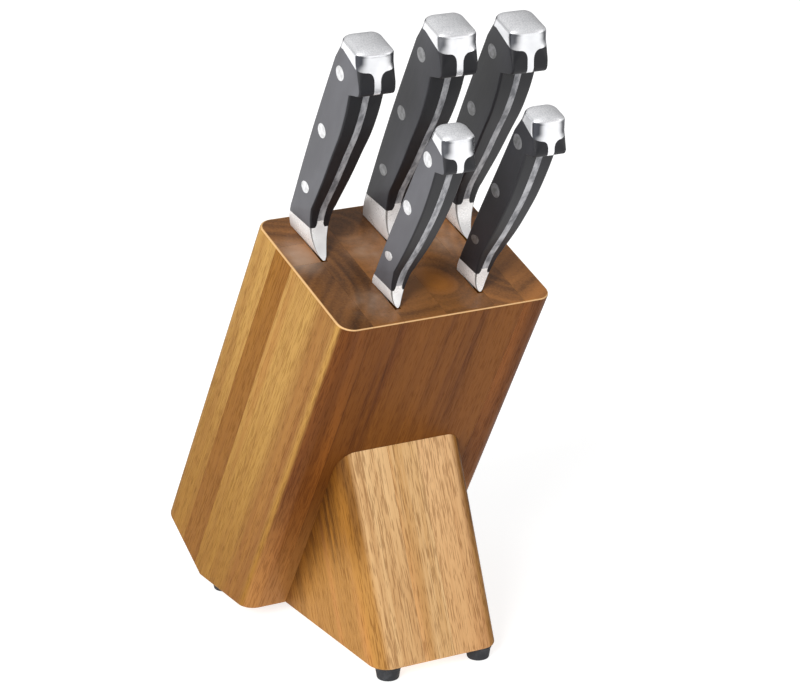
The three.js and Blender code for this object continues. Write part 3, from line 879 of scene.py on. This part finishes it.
def crown_rings(last):
    """The butt cap's low crown, well rounded at its sides and tighter at its front and back."""
    centre = last.mean(axis=0)
    spine, belly = last[0], last[len(last) // 2]
    out = np.array((0, (belly - spine)[2], -(belly - spine)[1]))
    out = out / np.linalg.norm(out)
    rings = []
    for a in np.linspace(0, pi / 2, CROWN_RINGS)[1:]:
        left = max(cos(a), 0.02)
        across, along = left ** (2 / CAP_SIDE), left ** (2 / CAP_END)
        rings.append(centre + (last - centre) * (across, along, along) + out * CAP_CROWN * sin(a))
    return rings


def rounded_corner(corner, radii, start, count=8):
    """A quarter ellipse inside a corner, from along one side to along the other."""
    cx, cz = corner[0] + radii[0], corner[1] + start * radii[1]
    return [(cx - radii[0] * sin(a), cz - start * radii[1] * cos(a)) for a in np.linspace(0, pi / 2, count)]


def scale_pocket(knife, side):
    """Where one handle scale sits: beside the tang, between two cuts with rounded inner corners."""
    size = knife["size"]
    tang = TANG_T / 2
    wide = 30
    low_line = [(size["spine"][0][0] + wide, size["scale_low"] - size["scale_rise"] * wide),
                (-wide, size["scale_low"] + size["scale_rise"] * (wide + size["spine"][0][0]))]
    outline = [*low_line, *reversed(size["scale_top"]), (wide, size["scale_top"][0][1] - 3)]
    pocket = prism(outline, tang, wide)
    radii = size["shoulder"]
    top = size["scale_top"][-1][1]
    arc = rounded_corner((tang, top), radii, -1)
    above = prism([(tang, -2 * wide), (wide, -2 * wide), (wide, top), *arc], -wide, wide, "y")
    combine(pocket, fix_normals(above), "INTERSECT")
    angle = np.degrees(np.arctan(size["scale_rise"]))
    arc = rounded_corner((tang, size["scale_low"]), radii, 1)
    high = 4 * wide
    below = [(wide, size["scale_low"]), (wide, high), (tang, high), *reversed(arc)]
    below = prism(below, -3 * wide, 3 * wide, "y")
    turn(fix_normals(below), -angle)
    lift = size["scale_rise"] * size["spine"][0][0]
    below.data.transform(Matrix.Translation((0, 0, lift * MM)))
    combine(pocket, below, "INTERSECT")
    if side < 0:
        pocket.data.transform(Matrix.Scale(-1, 4, (1, 0, 0)))
        fix_normals(pocket)
    return pocket


def edge_line(kind, guard, length, t):
    """How far forward the cutting edge lies, t of the way from the heel to the point."""
    if kind == "chef":
        return guard + (3 - guard) * max(0, (t - 0.35) / 0.65) ** 2.3
    if kind == "bread":
        teeth = SERRATION_DEPTH * abs(sin(pi * length * t / SERRATION)) ** 0.7 * (t < 0.93)
        return guard - guard * max(0, (t - 0.85) / 0.15) ** 2.6 + teeth
    return guard - guard * max(0, (t - 0.62) / 0.38) ** 2.2


def blade_ring(top, edge, half, z):
    """One thin wedge across the blade, with its ground edge."""
    depth = top - edge
    bevel = min(1.1, depth * 0.3)
    wedge = [(0, top), (half * 0.9, top), (half, top - min(0.3, depth * 0.1))]
    wedge += [(half + (0.2 - half) * k, top + (edge + bevel - top) * k) for k in (0.25, 0.5, 0.75, 1)]
    ring = [*wedge, (0, edge), *[(-x, y) for x, y in reversed(wedge[1:])]]
    return [(x, y, z) for x, y in ring]


def blade_points(knife):
    """Rings down the blade from inside the bolster to the point."""
    size = knife["size"]
    guard, back = size["guard"], size["blade_spine"]
    root = seat_at(knife, back) + 1.5
    tip = seat_at(knife, 0) - knife["blade"]
    heel = seat_at(knife, back) - 5
    length = heel - tip
    stations = [(root, guard + 1.0), (heel + 0.6, guard + 0.3)]
    for i in range(BLADE_RINGS + 1):
        t = i / BLADE_RINGS
        stations.append((heel - length * t, edge_line(knife["edge"], guard, length, t)))
    rings = []
    for z, edge in stations:
        t = min(max((heel - z) / length, 0), 1)
        drop = max(0, (t - 0.7) / 0.3) ** 2 * (back + 1.5) + 1.2 * (z > heel + 1)
        top = back - drop
        rings.append(blade_ring(top, min(edge, top - 0.15), 1.1 - 0.55 * t, z))
    return rings


def steel_regions(obj, knife):
    """Material 0 on the cap, 1 on the tang between the scales, 3 on the bolster; 2 is the blade's."""
    size = knife["size"]
    tang = TANG_T / 2 * MM
    low = (size["scale_low"] + size["shoulder"][1]) * MM
    high = (size["belly"][-1][1] + 1) * MM
    for face in obj.data.polygons:
        c = face.center
        rise = size["scale_rise"] * (size["spine"][0][0] * MM - c.y)
        if c.z < low + rise:
            face.material_index = 3
        elif abs(c.x) < tang * 1.02 and c.z < high:
            face.material_index = 1


def join_shell(obj, points, faces, material_index):
    """Adds a second closed shell, with one material, to an object's mesh."""
    extra = fix_normals(new_object("shell", points, faces))
    bm = bmesh.new()
    bm.from_mesh(obj.data)
    before = len(bm.faces)
    bm.from_mesh(extra.data)
    bm.faces.ensure_lookup_table()
    for face in bm.faces[before:]:
        face.material_index = material_index
        face.smooth = True
    bm.to_mesh(obj.data)
    bm.free()
    bpy.data.objects.remove(extra)


def make_rivets(knife, place, metal):
    """Three rivets through scales and tang, each with a very low dome on both sides."""
    size = knife["size"]
    for i, name in enumerate(("low", "mid", "top")):
        back, up = -i * size["lean"], i * size["pitch"]
        half = handle_half(knife, up + (i - 1) * 0.2)
        r = RIVET_R
        face = [(r * k, half + RIVET_DOME * (1 - k ** 4)) for k in (0.15, 0.4, 0.62, 0.8, 0.92, 0.985)]
        side = [(r, half - 0.12), (r, half - 1.2), (r * 0.6, half - 1.4)]
        profile = [(0, half + RIVET_DOME), *face, *side]
        mirrored = [(radius, -height) for radius, height in reversed(profile)]
        rivet = spun([*mirrored, *profile][::-1], 40)
        rivet.data.transform(Matrix.Translation((0, back * MM, up * MM)) @ Matrix.Rotation(pi / 2, 4, "Y"))
        soften(rivet, 0)
        owner = knife["name"]
        node = f"{owner}_knife_rivet_{name}"
        finished(rivet, f"{owner}_rivet_{name}", place, f"{owner}_knife", "rivet", [node], metal)


def make_knife(knife, finishes):
    """One forging, two scales and three rivets."""
    name, place = knife["name"], knife_place(knife)
    body = f"{name}_knife"
    handle = fix_normals(new_object("handle", *loft(handle_rings(knife))))
    pockets = {side: scale_pocket(knife, side) for side in (-1, 1)}
    for side, word in ((-1, "left"), (1, "right")):
        scale = combine(copy_of(handle), pockets[side], "INTERSECT", keep_cutter=True)
        soften(scale, 0.14, 50)
        node = f"{name}_knife_scale_{word}"
        finished(scale, f"{name}_scale_{word}", place, body, "handle_black", [node], finishes["scale"])
    for side in (-1, 1):
        combine(handle, pockets[side], "DIFFERENCE")
    soften(handle, 0.0)
    steel_regions(handle, knife)
    join_shell(handle, *loft(blade_points(knife)), 2)
    handle.data.set_sharp_from_angle(angle=radians(FLAT_ANGLE))
    steels = [finishes[part] for part in ("polish", "tang", "blade", "bolster")]
    finished(handle, f"{name}_forging", place, body, "steel", [f"{name}_knife_forging"], *steels)
    make_rivets(knife, place, finishes["rivet"])


# ------------------------------------------------------------------ stage

def area_light(name, at, aim, size, power):
    light = bpy.data.lights.new(name, "AREA")
    light.shape = "RECTANGLE"
    light.size, light.size_y = size
    light.energy = power
    obj = bpy.data.objects.new(name, light)
    obj.location = at
    obj.rotation_euler = (Vector(aim) - Vector(at)).to_track_quat("-Z", "Y").to_euler()
    bpy.context.scene.collection.objects.link(obj)


def sun_light(name, towards, strength, softness):
    """A broad, far light from a direction; softness is its width in degrees."""
    light = bpy.data.lights.new(name, "SUN")
    light.energy = strength
    light.angle = radians(softness)
    obj = bpy.data.objects.new(name, light)
    obj.rotation_euler = Vector(towards).to_track_quat("Z", "Y").to_euler()
    bpy.context.scene.collection.objects.link(obj)


def make_world():
    """A white room to the eye, and a softer grey one, lighter overhead, to the object."""
    world = bpy.data.worlds.new("studio")
    bpy.context.scene.world = world
    world.use_nodes = True
    tree = world.node_tree
    back = tree.nodes["Background"]
    path = tree.nodes.new("ShaderNodeLightPath")
    where = tree.nodes.new("ShaderNodeTexCoord")
    split = tree.nodes.new("ShaderNodeSeparateXYZ")
    ramp = tree.nodes.new("ShaderNodeValToRGB")
    stops = ramp.color_ramp.elements
    for _ in range(2):
        stops.new(0.5)
    for stop, (height, tone) in zip(stops, [(0.0, 0.40), (0.25, 0.16), (0.62, 0.30), (1.0, 0.55)]):
        stop.position = height
        stop.color = (*even(tone), 1)
    mix = tree.nodes.new("ShaderNodeMix")
    mix.data_type = "RGBA"
    mix.inputs[7].default_value = (1, 1, 1, 1)
    tree.links.new(where.outputs["Generated"], split.inputs[0])
    tree.links.new(split.outputs[2], ramp.inputs[0])
    tree.links.new(path.outputs["Is Camera Ray"], mix.inputs[0])
    tree.links.new(ramp.outputs[0], mix.inputs[6])
    tree.links.new(mix.outputs[2], back.inputs[0])
    back.inputs[1].default_value = 1.0


def make_stage():
    side = 6.0
    mesh = bpy.data.meshes.new("floor")
    corners = [(-side, -side, 0), (side, -side, 0), (side, side, 0), (-side, side, 0)]
    mesh.from_pydata(corners, [], [(0, 1, 2, 3)])
    floor = place_mesh("floor", mesh)
    g = Graph("pale_floor", Roughness=0.6, Emission_Strength=0.78)
    speck = g.noise(even(300), detail=2)
    g.set(Base_Color=g.mix(speck * 0.2, even(0.50), even(0.47)))
    g.set(Emission_Color=(1, 1, 1))
    mesh.materials.append(g.material)
    make_world()
    sun_light("key", (-0.68, -0.56, 0.47), 2.3, 22)
    area_light("left_window", (-1.5, -0.5, 0.75), (0, 0, 0.2), (0.8, 1.1), 6)
    area_light("right_window", (1.5, -1.0, 0.6), (0, 0, 0.2), (0.5, 1.0), 3)


def make_camera():
    """Slightly above and to the left of the block's front, with a long lens."""
    azimuth, elevation, distance = radians(-28.98), radians(18.32), 1.5154
    aim = ORIGIN + Vector((31.28, 0, 125.01)) * MM
    away = Vector((sin(azimuth) * cos(elevation), -cos(azimuth) * cos(elevation), sin(elevation)))
    camera = bpy.data.objects.new("camera", bpy.data.cameras.new("camera"))
    camera.data.lens = 139.46
    camera.data.sensor_width = 36
    camera.location = aim + away * distance
    camera.rotation_euler = (-away).to_track_quat("-Z", "Y").to_euler()
    bpy.context.scene.collection.objects.link(camera)
    bpy.context.scene.camera = camera


# ------------------------------------------------------------------ the whole

def make_woods():
    """Each stave's own wood: its colours and marks, a seed, and where its growth rings have their heart."""
    top = (rgb(150, 98, 50), rgb(74, 46, 24))
    warm_top = (rgb(172, 112, 56), rgb(92, 58, 30))
    streaky = (4, 27, rgb(126, 74, 22))
    knot = rgb(186, 116, 44)
    # front and foot_side give the deeper colours painted on faces turned one way, as shade, and their paler
    # lower end.
    front = ("front", (0.25, 0.60), rgb(110, 62, 16), rgb(80, 39, 7), rgb(170, 118, 62), 100)
    foot_side = ("side", (0.14, 0.55), rgb(154, 103, 36), rgb(98, 60, 16), rgb(176, 127, 64), 30)
    # amber and honey tint the painted lower shade of the light staves and the foot.
    amber, honey = (0.56, 0.43, 0.05), (0.4, 0.2, 0.0)
    core = dict(pale=rgb(119, 70, 20), deep=rgb(76, 36, 5), end=top, pores=0.45, figure=1.4,
                painted_low_shade=(0.05, DUSK))
    light = dict(pale=rgb(192, 150, 78), deep=rgb(154, 107, 48), end=top, pores=0.55, figure=0.8,
                 turned=front, painted_low_shade=(0.8, amber))
    dark = dict(pale=rgb(156, 104, 24), deep=rgb(124, 74, 12), end=top, pores=0.5, figure=0.6)
    foot = dict(pale=rgb(245, 212, 162), deep=rgb(201, 154, 101), end=top, pores=0.75, figure=1.3,
                lean=FOOT_GRAIN, turned=foot_side, painted_low_shade=(0.45, honey))
    yellow = foot | dict(pale=rgb(252, 224, 178), deep=rgb(212, 170, 114))
    pink = foot | dict(pale=rgb(244, 208, 160), deep=rgb(198, 148, 98), painted_low_shade=(0.55, honey))
    plan = {
        "core_left": (core | {"turned": front}, 3.1, (-60, 40)),
        "core_mid_left": (core, 5.3, (-14, 74)),
        "core_mid_right": (core | {"eye": knot}, 7.7, (9, 28)),
        "core_right": (core | {"end": warm_top}, 9.2, (70, 40)),
        "left_stave_front": (light | {"band": streaky}, 11.4, (20, -30)),
        "left_stave_middle": (dark, 13.9, (30, 80)),
        "left_stave_back": (light, 17.3, (-20, 140)),
        "right_stave_front": (light | {"end": warm_top}, 19.6, (-10, 120)),
        "right_stave_middle": (dark | {"end": warm_top}, 23.2, (-30, 30)),
        "right_stave_back": (light, 27.8, (0, -40)),
        "foot_stave_left": (foot, 31.5, (-60, -160)),
        "foot_stave_middle": (yellow, 37.1, (30, -170)),
        "foot_stave_right": (pink, 41.9, (60, -190)),
    }
    return {name: oiled_wood(f"acacia_{name}", seed=seed, heart=heart, **look)
            for name, (look, seed, heart) in plan.items()}


# Lit and shaded copies of one handle finish: sheen and bright set the painted light on scales and rivets.
def handle_finish(wear_and_sheen, sheen, bright):
    scale = satin_black(f"satin_black_{wear_and_sheen}", sheen)
    return dict(scale=scale, rivet=ground_rivet(f"rivet_{wear_and_sheen}", bright))


def make_knives():
    """The five knives; their handles and rivets are lighter or darker copies of one finish, painted for the
    light that falls on each.
    """
    steels = dict(polish=polished_steel(), tang=brushed_tang(), blade=satin_blade(), bolster=bright_bolster())
    lit_sheen = handle_finish("lit_sheen", 88, 236)
    dim_sheen = handle_finish("dim_sheen", 60, 150)
    deep = handle_finish("deep", 42, 136)
    wear_and_sheen = dict(carving=lit_sheen, chef=dim_sheen, bread=deep, utility=lit_sheen, paring=deep)
    for one in KNIVES:
        make_knife(one, steels | wear_and_sheen[one["name"]])


def finish_dowels():
    wood = beech()
    for node in ("dowel_left", "dowel_right"):
        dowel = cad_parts[node]
        dowel.data.materials.clear()
        dowel.data.materials.append(wood)


bpy.context.scene.view_settings.view_transform = "Standard"
make_camera()
make_stage()
woods = make_woods()
make_block(woods)
make_foot(woods)
make_pads(moulded_rubber(), zinc_screw())
make_knives()
finish_dowels()
